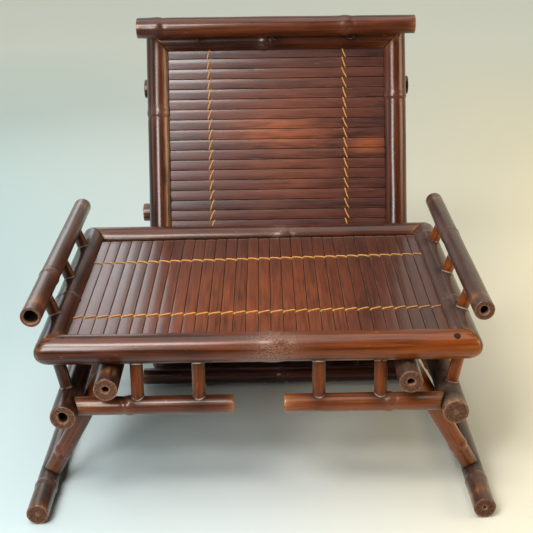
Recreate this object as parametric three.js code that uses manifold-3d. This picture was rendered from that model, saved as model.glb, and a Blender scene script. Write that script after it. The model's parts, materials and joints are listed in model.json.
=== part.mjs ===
// Folding bamboo stand for a photo album: a slatted seat on two folding leg frames, an arm gallery
// on each side, and a tilting slatted back that carries a leg frame of its own.
// Millimetres and degrees. +X is to the right, +Y to the rear, +Z up.

import * as THREE from 'three';
import { mergeVertices } from 'three/addons/utils/BufferGeometryUtils.js';
import Module from 'manifold-3d';

const wasm = await Module();
wasm.setup();

// Frame of mitred rails, the same for the seat and the back
const trayLength = 354;
const trayDepth = 262;
const railRadius = 13;
const contactGap = 0.3;

// Slatted panel: slats in a groove all round, stitched down to two battens
const slatCount = 30;
const slatThickness = 3;
const slatGap = 0.6;
const slatChamfer = 0.7;
const slatTop = 5;
const slatTongue = 4;
const pareLength = 3.6;
const pareDrop = 1.2;
const battenWidth = 14;
const battenThickness = 4;
const battenInsets = { seat: [56, 73], back: [56, 56] };

// Gallery: a pole carried outside and above the end rail by short posts
const galleryRise = 34;
const armOutset = 12;
const crestOutset = 9;
const baseOutset = 15;
const postRadius = 5.6;
const postInset = 49;
const tenon = 4;
const armRadius = 9;
const armOverhang = [7.5, 11.5];
const crestRadius = 11.2;
const crestOverhang = [19, 19];
const crestTaper = 0.85;

// Lower rails: they stop short of the middle, so that a folded foot pole drops in between
const lowerRadius = 8.2;
const lowerDrop = 51;
const lowerOutset = 7;
const lowerGap = 43;
const spindleRadius = 5.8;
const spindleInsets = [125.5, 72.5];

// Stop pole, which the open legs lean on, and the two posts that hang it from the side rail
const stopRadius = 11.3;
const stopInset = 10;
const stopDrop = 53;
const stopOverhang = [24, 8];
const hangerInset = 13;

// Leg frame: a pivot pole that turns under the rails, two legs and a foot pole
const pivotRadius = 10.5;
const pivotInset = 49;
const pivotOverhangs = { left: [29, 8], right: [23, 8] };
const footRadius = 10.2;
const footOverhang = 30;
const footTail = 18;
const legRadius = 8.2;
const legLength = 140;
const frontLegInset = 32;
const rearLegInset = 71;

// Back: its lower end rail stands on the floor and its uprights bear on the rear lower rails
const backLean = 20.2;
const backShift = 22;
const backStopOverhang = [10, 16];
const backPivotOverhang = [18, 18];
const backFootOverhang = 22;
const backPivotDrop = 18;
const lugRadius = 6.5;
const lugReach = 7;
const pegRadius = 3.5;
const pegDepth = 9;

// Cut pole ends: a blind hollow where the culm is open
const openHollow = 0.6;
const halfHollow = 0.4;
const smallHollow = 0.3;
const pinHollow = 0.14;
const hollowDepth = 12;
const hollowTaper = 0.8;
const edgeRound = 0.8;

// Culm joints stand a little proud of the pole, at these shares of its length
const nodeRise = 0.7;
const nodeHalfWidth = 3.5;
const jointShares = {
  seat: { front: [0.29, 0.535, 0.8], rear: [0.4, 0.7], left: [0.35, 0.72], right: [0.25, 0.6] },
  back: { front: [0.26, 0.63], rear: [0.34, 0.8], left: [0.36], right: [0.25, 0.75] },
  arm: { left: [0.3], right: [0.62] },
  stop: [0.5],
  pivot: [0.42],
  foot: [0.17, 0.75],
  leg: [0.78],
  crest: [0.07, 0.75],
  base: [0.5],
  backStop: [0.4],
};

const poleSides = 14;
const postSides = 8;

// Worked out from the sizes above
const halfLength = trayLength / 2;
const halfDepth = trayDepth / 2;
const postPlace = halfDepth - postInset;
const spindlePlaces = spindleInsets.map((inset) => halfLength - inset);
const stopPlace = halfLength - stopInset;
const hangerPlace = halfDepth - hangerInset;
const pivotPlace = halfLength - pivotInset;
const pivotDrop = railRadius + contactGap + pivotRadius;
const frontLegPlace = frontLegInset - halfDepth;
const rearLegPlace = halfDepth - rearLegInset;
const footRearEnd = rearLegPlace + footTail;
const stopAcross = stopPlace - pivotPlace;
const stopBelow = stopDrop - pivotDrop;
const leanOnStop = Math.asin((legRadius + stopRadius + contactGap) / Math.hypot(stopAcross, stopBelow));
const openAngle = Math.atan2(stopBelow, stopAcross) + leanOnStop;
const seatHeight = pivotDrop + legLength * Math.sin(openAngle) + footRadius;
const slatBottom = slatTop - slatThickness;
const grooveFloor = railRadius - slatTongue - contactGap;
const leanAngle = THREE.MathUtils.degToRad(backLean);

const darkLacquer = { color: 0x4a1f14, roughness: 0.3, metalness: 0 };
const warmLacquer = { color: 0x7a3417, roughness: 0.3, metalness: 0 };
const slatLacquer = { color: 0x5a2415, roughness: 0.35, metalness: 0 };

function vec(x, y, z) {
  return new THREE.Vector3(x, y, z);
}

// three.js geometry to a closed solid, and back
function toSolid(geometry) {
  const bare = geometry.clone();
  bare.deleteAttribute('normal');
  bare.deleteAttribute('uv');
  const merged = mergeVertices(bare, 1e-4);
  const corners = merged.index.array;
  const faces = [];
  for (let i = 0; i < corners.length; i += 3) {
    const [a, b, c] = [corners[i], corners[i + 1], corners[i + 2]];
    if (a !== b && b !== c && c !== a) {
      faces.push(a, b, c);
    }
  }
  const vertProperties = merged.attributes.position.array;
  const triVerts = Uint32Array.from(faces);
  return new wasm.Manifold(new wasm.Mesh({ numProp: 3, vertProperties, triVerts }));
}

function toGeometry(solid) {
  const mesh = solid.getMesh();
  const geometry = new THREE.BufferGeometry();
  geometry.setAttribute('position', new THREE.BufferAttribute(new Float32Array(mesh.vertProperties), 3));
  geometry.setIndex(new THREE.BufferAttribute(new Uint32Array(mesh.triVerts), 1));
  geometry.computeVertexNormals();
  return geometry;
}

// The turn and place that lay a piece made along +Y between two points
function placingOf(start, end) {
  const along = end.clone().sub(start).normalize();
  const turn = new THREE.Quaternion().setFromUnitVectors(vec(0, 1, 0), along);
  const middle = start.clone().add(end).multiplyScalar(0.5);
  return new THREE.Matrix4().compose(middle, turn, vec(1, 1, 1));
}

// A round cutter or plain rod between two points, its flats at the radius
function rod(start, end, radius, sides = poleSides) {
  const reach = radius / Math.cos(Math.PI / sides);
  const geometry = new THREE.CylinderGeometry(reach, reach, start.distanceTo(end), sides);
  return toSolid(geometry.applyMatrix4(placingOf(start, end)));
}

function block(low, high) {
  const size = high.clone().sub(low);
  const middle = high.clone().add(low).multiplyScalar(0.5);
  const geometry = new THREE.BoxGeometry(size.x, size.y, size.z);
  return toSolid(geometry.translate(middle.x, middle.y, middle.z));
}

// Half of a turned end: the hollow, if there is one, the cut face and its rounded edge
function endProfile(radius, hollow, edge, place, inward) {
  const points = [];
  if (hollow > 0) {
    points.push([0, place + inward * hollowDepth]);
    points.push([radius * hollow * hollowTaper, place + inward * hollowDepth]);
    points.push([radius * hollow, place]);
  } else {
    points.push([0, place]);
  }
  points.push([radius - edge, place]);
  if (edge > 0) {
    points.push([radius, place + inward * edge]);
  }
  return points;
}

// A length of bamboo: it tapers, swells at its joints and may be hollow at its ends
function culm(pole) {
  const length = pole.start.distanceTo(pole.end);
  const endRadius = pole.radius * pole.taper;
  const points = endProfile(pole.radius, pole.hollows[0], pole.edge, -length / 2, 1);
  for (const share of pole.joints) {
    const place = (share - 0.5) * length;
    const radius = THREE.MathUtils.lerp(pole.radius, endRadius, share);
    points.push([radius, place - nodeHalfWidth]);
    points.push([radius + nodeRise, place]);
    points.push([radius, place + nodeHalfWidth]);
  }
  points.push(...endProfile(endRadius, pole.hollows[1], pole.edge, length / 2, -1).reverse());
  const profile = points.map(([radius, place]) => new THREE.Vector2(radius, place));
  return toSolid(new THREE.LatheGeometry(profile, pole.sides));
}

const plainPole = {
  joints: [],
  hollows: [0, 0],
  edge: edgeRound,
  taper: 1,
  sides: poleSides,
  finish: darkLacquer,
};

function makePole(name, start, end, radius, options = {}) {
  return { ...plainPole, name, start, end, radius, cuts: [], adds: [], ...options };
}

function meshOf(pole) {
  const placing = placingOf(pole.start, pole.end);
  const intoPole = placing.clone().invert().toArray();
  let solid = culm(pole);
  for (const add of pole.adds) {
    solid = solid.add(add.transform(intoPole));
  }
  for (const cut of pole.cuts) {
    solid = solid.subtract(cut.transform(intoPole));
  }
  const mesh = new THREE.Mesh(toGeometry(solid), new THREE.MeshStandardMaterial(pole.finish));
  mesh.name = pole.name;
  mesh.applyMatrix4(placing);
  return mesh;
}

// A post between two poles, with a tenon at each end in a socket in the pole
function makePost(name, lower, lowerPoint, upper, upperPoint, radius) {
  const along = upperPoint.clone().sub(lowerPoint).normalize();
  const foot = lowerPoint.clone().addScaledVector(along, lower.radius - tenon);
  const head = upperPoint.clone().addScaledVector(along, tenon - upper.radius);
  cutSocket(lower, foot, along, radius);
  cutSocket(upper, head, along.clone().negate(), radius);
  return makePole(name, foot, head, radius, { sides: postSides, edge: 0 });
}

// The socket's cutter runs on past the pole's surface
function cutSocket(pole, tip, outward, radius) {
  const floor = tip.clone().addScaledVector(outward, -contactGap);
  const mouth = tip.clone().addScaledVector(outward, 3 * tenon);
  pole.cuts.push(rod(floor, mouth, radius + contactGap, postSides));
}

// Cut that fits a pole's end round the side of another pole
function saddleCut(pole) {
  return rod(pole.start, pole.end, pole.radius + contactGap);
}

// Keeps one side of the 45 degree plane through a corner of the frame. The cutter is a cube that is
// larger than the corner.
function mitreCut(cornerX, cornerY, keepsLongRail) {
  const side = keepsLongRail ? 1 : -1;
  const size = 6 * railRadius;
  const across = vec(Math.sign(cornerX), -Math.sign(cornerY), 0).normalize();
  const distance = side * (size / 2 - contactGap / 2);
  const geometry = new THREE.BoxGeometry(size, size, size);
  geometry.rotateZ(Math.atan2(across.y, across.x));
  geometry.translate(cornerX + across.x * distance, cornerY + across.y * distance, 0);
  return toSolid(geometry);
}

// Four mitred rails with the groove that holds the slats. Each is made long enough to reach past its
// mitres.
function makeRails(names, joints) {
  const reach = railRadius + edgeRound;
  const low = slatBottom - contactGap;
  const high = slatTop + contactGap;
  const insideX = halfLength - grooveFloor;
  const insideY = halfDepth - grooveFloor;
  const groove = block(vec(-insideX, -insideY, low), vec(insideX, insideY, high));
  const rails = {};
  for (const [place, side] of [['front', -1], ['rear', 1]]) {
    const y = side * halfDepth;
    const start = vec(-halfLength - reach, y, 0);
    const end = vec(halfLength + reach, y, 0);
    const cuts = [mitreCut(-halfLength, y, true), mitreCut(halfLength, y, true), groove];
    rails[place] = makePole(names[place], start, end, railRadius, { cuts, joints: joints[place] });
  }
  for (const [place, side] of [['left', -1], ['right', 1]]) {
    const x = side * halfLength;
    const start = vec(x, -halfDepth - reach, 0);
    const end = vec(x, halfDepth + reach, 0);
    const cuts = [mitreCut(x, -halfDepth, false), mitreCut(x, halfDepth, false), groove];
    rails[place] = makePole(names[place], start, end, railRadius, { cuts, joints: joints[place] });
  }
  return rails;
}

// A slat's end is pared down on top, so that its flat top stops short of the rail it goes under
function pareCut(halfWidth, length, depthSide) {
  const tip = depthSide * length / 2;
  const shape = new THREE.Shape();
  shape.moveTo(tip - depthSide * pareLength, slatTop);
  shape.lineTo(tip + depthSide * pareLength, slatTop - 2 * pareDrop);
  shape.lineTo(tip + depthSide * pareLength, slatTop + slatThickness);
  shape.lineTo(tip - depthSide * pareLength, slatTop + slatThickness);
  const cutter = new THREE.ExtrudeGeometry(shape, { depth: 4 * halfWidth, bevelEnabled: false });
  // Stands the outline in the y-z plane, so that the extrusion runs across the slat
  cutter.applyMatrix4(new THREE.Matrix4().makeBasis(vec(0, 1, 0), vec(0, 0, 1), vec(1, 0, 0)));
  cutter.translate(-2 * halfWidth, 0, 0);
  return toSolid(cutter);
}

// The slats run from the front rail to the rear rail, on two battens that carry them all
function makeSlats(name, insets) {
  const width = trayLength - 2 * (grooveFloor + contactGap);
  const length = trayDepth - 2 * (grooveFloor + contactGap);
  const pitch = width / slatCount;
  const half = (pitch - slatGap) / 2;
  const section = new THREE.Shape();
  section.moveTo(-half, 0);
  section.lineTo(half, 0);
  section.lineTo(half, slatThickness - slatChamfer);
  section.lineTo(half - slatChamfer, slatThickness);
  section.lineTo(slatChamfer - half, slatThickness);
  section.lineTo(-half, slatThickness - slatChamfer);
  const slat = new THREE.ExtrudeGeometry(section, { depth: length, bevelEnabled: false });
  slat.rotateX(Math.PI / 2);
  slat.translate(0, length / 2, slatBottom);
  const slatSolid = toSolid(slat).subtract(pareCut(half, length, 1)).subtract(pareCut(half, length, -1));
  const battenEnd = halfLength - railRadius - nodeRise - contactGap;
  let panel = null;
  for (const [i, side] of [-1, 1].entries()) {
    const y = side * (halfDepth - insets[i]);
    const low = vec(-battenEnd, y - battenWidth / 2, slatBottom - battenThickness);
    const high = vec(battenEnd, y + battenWidth / 2, slatBottom + contactGap);
    panel = panel ? panel.add(block(low, high)) : block(low, high);
  }
  for (let i = 0; i < slatCount; i += 1) {
    const x = (i + 0.5) * pitch - width / 2;
    panel = panel.add(slatSolid.translate([x, 0, 0]));
  }
  const mesh = new THREE.Mesh(toGeometry(panel), new THREE.MeshStandardMaterial(slatLacquer));
  mesh.name = name;
  return mesh;
}

// A gallery over a side rail: a pole on posts that lean outwards
function makeGallery(side, outset, rail, pole, postNames, postPlaces) {
  const posts = postNames.map((name, i) => {
    const onRail = vec(side * halfLength, postPlaces[i], 0);
    const onPole = vec(side * (halfLength + outset), postPlaces[i], galleryRise);
    return makePost(name, rail, onRail, pole, onPole, postRadius);
  });
  return [pole, ...posts];
}

// A pole that runs from front to back, past both long rails
function crossPole(name, x, z, overhang, radius, options) {
  const start = vec(x, -halfDepth - overhang[0], z);
  const end = vec(x, halfDepth + overhang[1], z);
  return makePole(name, start, end, radius, options);
}

function galleryPole(name, side, outset, overhang, radius, options) {
  return crossPole(name, side * (halfLength + outset), galleryRise, overhang, radius, options);
}

function makeStopPole(name, side, overhang, options) {
  return crossPole(name, side * stopPlace, -stopDrop, overhang, stopRadius, options);
}

// One half of a lower rail: it butts against the stop pole and hangs from a rail on two spindles
function makeLowerRail(name, side, depthSide, stopPole, options) {
  const y = depthSide * (halfDepth + lowerOutset);
  const inner = vec(side * lowerGap / 2, y, -lowerDrop);
  const outer = vec(side * stopPlace, y, -lowerDrop);
  const cuts = [saddleCut(stopPole)];
  return makePole(name, inner, outer, lowerRadius, { ...options, cuts });
}

function makeSpindle(name, place, side, depthSide, rail, lowerRail) {
  const top = vec(side * place, depthSide * halfDepth, 0);
  const bottom = vec(side * place, depthSide * (halfDepth + lowerOutset), -lowerDrop);
  return makePost(name, lowerRail, bottom, rail, top, spindleRadius);
}

// A leg frame in its own group, which turns on the pivot pole's axis. fold is 0 when it is open.
function makeLegFrame(side, fold, overhangs, names, footHollow) {
  const group = new THREE.Group();
  const footX = side * legLength * Math.cos(openAngle);
  const footZ = -legLength * Math.sin(openAngle);
  const pivot = crossPole(names.pivot, 0, 0, overhangs.pivot, pivotRadius, {
    hollows: [smallHollow, smallHollow],
    joints: jointShares.pivot,
  });
  const footFront = vec(footX, -halfDepth - overhangs.foot, footZ);
  const footRear = vec(footX, footRearEnd, footZ);
  const foot = makePole(names.foot, footFront, footRear, footRadius, {
    hollows: [footHollow, smallHollow],
    joints: jointShares.foot,
  });
  group.add(meshOf(pivot));
  group.add(meshOf(foot));
  for (const [name, y] of [[names.frontLeg, frontLegPlace], [names.rearLeg, rearLegPlace]]) {
    const leg = makePole(name, vec(0, y, 0), vec(footX, y, footZ), legRadius, {
      joints: jointShares.leg,
      cuts: [saddleCut(pivot), saddleCut(foot)],
      finish: warmLacquer,
    });
    group.add(meshOf(leg));
  }
  group.position.set(side * pivotPlace, 0, -pivotDrop);
  group.rotation.y = side * fold;
  return group;
}

// Where the back stands, seen from the side: its foot on the floor, its uprights on the lower rails
const floorLevel = -seatHeight;
const endRailLevel = floorLevel + railRadius;
const bearingSpan = (railRadius + lowerRadius + contactGap) / Math.cos(leanAngle);
const bearingRise = (-lowerDrop - endRailLevel) * Math.tan(leanAngle);
const endRailPlace = halfDepth + lowerOutset + bearingSpan - bearingRise;
const backPivot = {
  y: endRailPlace + (-backPivotDrop - endRailLevel) * Math.tan(leanAngle),
  z: -backPivotDrop,
};
const backPivotAlong = (-backPivotDrop - endRailLevel) / Math.cos(leanAngle);

// A lug that carries the back: a post out of the rear rail with a peg across its end
function makeLug(name, side, rearRail) {
  const x = backShift + side * (halfDepth + railRadius + 2 * contactGap + lugRadius);
  const root = vec(x, halfDepth, 0);
  const pivot = vec(x, backPivot.y, backPivot.z);
  const outward = pivot.clone().sub(root).normalize();
  const start = root.clone().addScaledVector(outward, railRadius - tenon);
  const end = pivot.clone().addScaledVector(outward, lugReach);
  cutSocket(rearRail, start, outward, lugRadius);
  const pegTip = pivot.clone();
  pegTip.x = backShift + side * (halfDepth + railRadius - pegDepth);
  return makePole(name, start, end, lugRadius, { adds: [rod(pivot, pegTip, pegRadius, postSides)] });
}

// What differs between the seat's left and right sides
const seatSides = [
  { word: 'left', side: -1, armHollow: openHollow, stopHollow: halfHollow, footHollow: 0 },
  { word: 'right', side: 1, armHollow: halfHollow, stopHollow: 0, footHollow: pinHollow },
];

function buildSeat() {
  const seat = new THREE.Group();
  const names = {
    front: 'seat_front_rail',
    rear: 'seat_rear_rail',
    left: 'seat_left_rail',
    right: 'seat_right_rail',
  };
  const rails = makeRails(names, jointShares.seat);
  const pieces = [];
  for (const { word, side, armHollow, stopHollow, footHollow } of seatSides) {
    const rail = rails[word];
    const arm = galleryPole(`${word}_arm`, side, armOutset, armOverhang, armRadius, {
      hollows: [armHollow, armHollow],
      joints: jointShares.arm[word],
    });
    const postNames = ['front', 'middle', 'rear'].map((place) => `${word}_arm_${place}_post`);
    pieces.push(...makeGallery(side, armOutset, rail, arm, postNames, [-postPlace, 0, postPlace]));

    const stop = makeStopPole(`${word}_stop_pole`, side, stopOverhang, {
      hollows: [stopHollow, 0],
      joints: jointShares.stop,
    });
    for (const [place, depthSide] of [['front', -1], ['rear', 1]]) {
      const hanger = makePost(
        `${word}_${place}_hanger`,
        stop,
        vec(side * stopPlace, depthSide * hangerPlace, -stopDrop),
        rail,
        vec(side * halfLength, depthSide * hangerPlace, 0),
        postRadius,
      );
      pieces.push({ ...hanger, finish: warmLacquer });
      const lowerName = `${place}_${word}_lower_rail`;
      const lower = makeLowerRail(lowerName, side, depthSide, stop, { finish: warmLacquer });
      spindlePlaces.forEach((spot, i) => {
        const spindleName = `${place}_${word}_spindle_${i + 1}`;
        pieces.push(makeSpindle(spindleName, spot, side, depthSide, rails[place], lower));
      });
      pieces.push(lower);
    }
    pieces.push(stop);

    const legNames = {
      pivot: `${word}_pivot_pole`,
      foot: `${word}_foot_pole`,
      frontLeg: `${word}_front_leg`,
      rearLeg: `${word}_rear_leg`,
    };
    const overhangs = { pivot: pivotOverhangs[word], foot: footOverhang };
    seat.add(makeLegFrame(side, 0, overhangs, legNames, footHollow));
  }
  pieces.push(makeLug('left_back_lug', -1, rails.rear));
  pieces.push(makeLug('right_back_lug', 1, rails.rear));
  pieces.push(...Object.values(rails));
  pieces.forEach((pole) => seat.add(meshOf(pole)));
  seat.add(makeSlats('seat_slats', battenInsets.seat));
  return seat;
}

// The back is the same frame stood on its right end: its left end is the top, its front rail is
// the left upright and its rear rail the right upright.
function buildBack() {
  const back = new THREE.Group();
  const names = {
    front: 'back_left_upright',
    rear: 'back_right_upright',
    left: 'back_top_rail',
    right: 'back_foot_rail',
  };
  const rails = makeRails(names, jointShares.back);
  const pieces = [];
  const crest = galleryPole('crest_pole', -1, crestOutset, crestOverhang, crestRadius, {
    taper: crestTaper,
    joints: jointShares.crest,
  });
  const crestPosts = ['crest_left_post', 'crest_middle_post', 'crest_right_post'];
  const crestPlaces = [-postPlace, 0, postPlace];
  pieces.push(...makeGallery(-1, crestOutset, rails.left, crest, crestPosts, crestPlaces));
  const base = galleryPole('back_base_pole', 1, baseOutset, crestOverhang, armRadius, {
    joints: jointShares.base,
  });
  const basePosts = ['base_left_post', 'base_right_post'];
  pieces.push(...makeGallery(1, baseOutset, rails.right, base, basePosts, [-postPlace, postPlace]));

  const stop = makeStopPole('back_stop_pole', -1, backStopOverhang, { joints: jointShares.backStop });
  for (const [word, place, depthSide] of [['left', 'front', -1], ['right', 'rear', 1]]) {
    const upright = rails[place];
    const comb = makeLowerRail(`back_${word}_side_rail`, -1, depthSide, stop, {});
    for (const spot of spindlePlaces) {
      const spindle = makeSpindle('', spot, -1, depthSide, upright, comb);
      comb.adds.push(rod(spindle.start, spindle.end, spindle.radius, postSides));
    }
    // The spindles are in one piece with the rail here, so it keeps its saddle but not their sockets
    comb.cuts = [saddleCut(stop)];
    pieces.push(comb);
    const pegPlace = halfLength - backPivotAlong;
    const outside = depthSide * (halfDepth + 2 * railRadius);
    const inside = depthSide * (halfDepth + railRadius - pegDepth - contactGap);
    const socketMouth = vec(pegPlace, outside, 0);
    const socketFloor = vec(pegPlace, inside, 0);
    upright.cuts.push(rod(socketMouth, socketFloor, pegRadius + contactGap, postSides));
  }
  pieces.push(stop);
  pieces.push(...Object.values(rails));
  pieces.forEach((pole) => back.add(meshOf(pole)));
  back.add(makeSlats('back_slats', battenInsets.back));
  const legNames = {
    pivot: 'back_pivot_pole',
    foot: 'back_leg_foot_pole',
    frontLeg: 'back_left_leg',
    rearLeg: 'back_right_leg',
  };
  const folded = Math.PI - openAngle;
  const overhangs = { pivot: backPivotOverhang, foot: backFootOverhang };
  back.add(makeLegFrame(-1, folded, overhangs, legNames, 0));

  const down = vec(0, -Math.sin(leanAngle), -Math.cos(leanAngle));
  const right = vec(1, 0, 0);
  const forward = vec(0, -Math.cos(leanAngle), Math.sin(leanAngle));
  back.quaternion.setFromRotationMatrix(new THREE.Matrix4().makeBasis(down, right, forward));
  back.position.set(backShift, endRailPlace, endRailLevel).addScaledVector(down, -halfLength);
  return back;
}

const group = new THREE.Group();
const stand = new THREE.Group();
stand.add(buildSeat(), buildBack());
group.add(stand);

// The origin is on the floor, under the middle of the whole stand
group.updateMatrixWorld(true);
const extent = new THREE.Box3().setFromObject(stand, true);
const middle = extent.getCenter(vec(0, 0, 0));
stand.position.set(-middle.x, -middle.y, -extent.min.z);

export default group;
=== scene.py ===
import json
import math
import bpy
import numpy as np
from mathutils import Matrix, Vector


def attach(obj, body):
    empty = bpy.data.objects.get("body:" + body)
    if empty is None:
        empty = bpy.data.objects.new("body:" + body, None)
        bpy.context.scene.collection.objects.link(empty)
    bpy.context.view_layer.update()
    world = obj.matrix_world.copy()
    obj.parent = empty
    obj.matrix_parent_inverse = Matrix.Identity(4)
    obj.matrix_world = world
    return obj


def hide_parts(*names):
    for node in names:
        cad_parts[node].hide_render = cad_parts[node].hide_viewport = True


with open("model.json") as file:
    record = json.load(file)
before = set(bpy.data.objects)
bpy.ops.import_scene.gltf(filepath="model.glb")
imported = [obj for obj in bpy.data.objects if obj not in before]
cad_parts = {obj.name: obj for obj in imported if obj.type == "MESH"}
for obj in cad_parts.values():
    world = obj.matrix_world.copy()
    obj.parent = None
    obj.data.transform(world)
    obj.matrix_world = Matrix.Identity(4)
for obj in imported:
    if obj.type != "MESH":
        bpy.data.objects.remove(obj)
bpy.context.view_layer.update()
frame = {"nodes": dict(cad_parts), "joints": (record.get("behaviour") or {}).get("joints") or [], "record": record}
record = frame["record"]
print("frame loaded:", len(frame["nodes"]), "nodes")

# The seat lies square to the axes. The back is the same tray stood on its end, so it is measured in
# a turned frame: x down the lean, y to the right, z forwards.
forward = Vector(next(m for m in record["mounts"] if m["name"] == "album_back")["axis"])
down = Vector((1, 0, 0)).cross(forward)
turns = {"seat": np.eye(3), "back": np.array([down, Vector((1, 0, 0)), forward]).T}


def unit(v):
    v = np.array(v, float)
    return v / np.linalg.norm(v)


def meshPoints(mesh):
    points = np.empty(len(mesh.vertices) * 3, np.float32)
    mesh.vertices.foreach_get("co", points)
    return points.reshape(-1, 3)


def turnedBox(node, tray):
    points = meshPoints(frame["nodes"][node].data) @ turns[tray]
    return points.min(0), points.max(0)


def boxMiddle(node, tray):
    low, high = turnedBox(node, tray)
    return (low + high) / 2


def poleEnds(node, tray, axis):
    low, high = turnedBox(node, tray)
    start = (low + high) / 2
    end = start.copy()
    start[axis], end[axis] = low[axis], high[axis]
    return start, end


def poleRadius(node, tray, axis, jointed=True):
    low, high = turnedBox(node, tray)
    widest = max((high - low)[i] for i in range(3) if i != axis) / 2
    return widest - (culmSettings["jointRise"] if jointed else 0)


# Poles: sizes that the frame doesn't give, in metres
culmSettings = {
    "jointRise": 0.0007, "jointWidth": 0.0034, "jointReach": 3.2, "jointRings": 17,   # reach in joint widths
    "cornerRadius": 0.007, "mitreGap": 0.00015, "endEdge": 0.0012, "hollowDepth": 0.016, "sawMarks": 0.00014,
    "mouthDepth": 0.003, "lipDepth": 0.0007, "lipWidth": 0.0005,
    "step": 0.009, "zone": 0.02,                               # between rings, and each end's own zone
    "wobble": 0.00028, "wobbleLength": 0.3, "phase": 6.3,      # the uneven skin; a phase is about a full turn
    "contactReach": 0.0045, "edgeReach": 0.0035, "creviceReach": 0.001, "seamDepth": 0.0012,   # dirt with painted shade at contacts, crevices and seams, and wear
    "tenon": 0.0035, "glueAt": 0.0003, "glueSpread": 0.0005,   # how deep posts sit, and their ring of glue
}
# What "ends" stores on a point: on the skin, on the sawn face, and on down into the hollow
endMarks = {"skin": 0, "sawn": 1, "lip": 1.3, "mouth": 1.75, "hollow": 2}
culmRandom = np.random.default_rng(11)
poles = []


def addPole(node, tray, body, start, end, radius, **options):
    pole = {
        "node": node, "tray": tray, "body": body, "radius": radius, "endRadius": radius, "sides": 36,
        "start": np.array(start, float), "end": np.array(end, float),
        "ends": ("cut", "cut"), "hollows": (0, 0), "across": (None, None), "inward": None,
        "joints": (), "jointWidth": culmSettings["jointWidth"], "jointWear": 0.35, "insideSheen": 0,
        "finish": "dark", "warm": (0, 0), "dust": 0,
    }
    poles.append({**pole, **options})


railNames = {
    "seat": {place: f"seat_{place}_rail" for place in ("front", "rear", "left", "right")},
    "back": {"front": "back_left_upright", "rear": "back_right_upright",
             "left": "back_top_rail", "right": "back_foot_rail"},
}
railLooks = {
    "seat_front_rail": {"joints": (0.535,), "jointWidth": 0.008, "jointWear": 0.9,
                        "warm": (0.05, 0.2, 0.42, 0.9)},
    "seat_rear_rail": {"joints": (0.57,), "jointWidth": 0.006, "jointWear": 0.6, "warm": (0.15, 0.15)},
    "seat_left_rail": {"joints": (0.35,), "dust": 0.04},
    "seat_right_rail": {"joints": (0.27, 0.9), "dust": 0.5},
    "back_left_upright": {"joints": (0.225, 0.8), "jointWear": 0.6, "warm": (0.1, 0.05), "insideSheen": 0.8},
    "back_right_upright": {"joints": (0.18, 0.8), "warm": (0.25, 0.05)},
    "back_top_rail": {"joints": (0.45,), "warm": (0.0, 0.25)},
    "back_foot_rail": {"joints": (0.3, 0.7)},
}
railRadius = poleRadius("seat_front_rail", "seat", 0)
trays = {}
for tray, names in railNames.items():
    front, rear, left, right = (boxMiddle(names[k], tray) for k in ("front", "rear", "left", "right"))
    middle = np.array([(left[0] + right[0]) / 2, (front[1] + rear[1]) / 2, front[2]])
    half = np.array([(right[0] - left[0]) / 2, (rear[1] - front[1]) / 2, 0])
    trays[tray] = {"middle": middle, "halfLength": half[0], "halfDepth": half[1]}
    for place, x, y in (("front", 0, -1), ("rear", 0, 1), ("left", -1, 0), ("right", 1, 0)):
        outward = np.array([x, y, 0])
        centre, run = middle + half * outward, half * (1 - abs(outward))
        addPole(names[place], tray, tray, centre - run, centre + run, railRadius, ends=("mitre", "mitre"),
                inward=-outward, **railLooks[names[place]])
seat, back = trays["seat"], trays["back"]
slatTop = {tray: turnedBox(f"{tray}_slats", tray)[1][2] - trays[tray]["middle"][2] for tray in trays}

# The tray's fittings, measured on the seat and used for the back as well
lowerAt = boxMiddle("front_right_lower_rail", "seat") - seat["middle"]
lowerInner = turnedBox("front_right_lower_rail", "seat")[0][0] - seat["middle"][0]
spindlePlaces = [boxMiddle(f"front_right_spindle_{i}", "seat")[0] - seat["middle"][0] for i in (1, 2)]
stopRadius = poleRadius("right_stop_pole", "seat", 1)
lowerRadius = poleRadius("front_right_lower_rail", "seat", 0, False)
spindleRadius = 0.0058
postRadius = 0.0056


def addPost(node, tray, lower, upper, lowerRadius, upperRadius, radius, **options):
    lower, upper = np.array(lower, float), np.array(upper, float)
    along = unit(upper - lower)
    foot = lower + along * (lowerRadius - culmSettings["tenon"])
    head = upper - along * (upperRadius - culmSettings["tenon"])
    addPole(node, tray, tray, foot, head, radius, ends=("hidden", "hidden"), sides=24, **options)


# A lower rail sits on the stop pole at its outer end and hangs from the rail on its spindles
def addLowerRail(node, tray, inner, outer, spindles, railPlace, railLook, spindleLook):
    addPole(node, tray, tray, inner, outer, lowerRadius, ends=("cut", "saddle"), across=(None, stopRadius),
            finish="warm", joints=(0.62,), **railLook)
    for spindle, x in spindles:
        addPost(spindle, tray, (x, *inner[1:]), (x, *railPlace), lowerRadius, railRadius, spindleRadius,
                finish="warm", **spindleLook)


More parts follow.
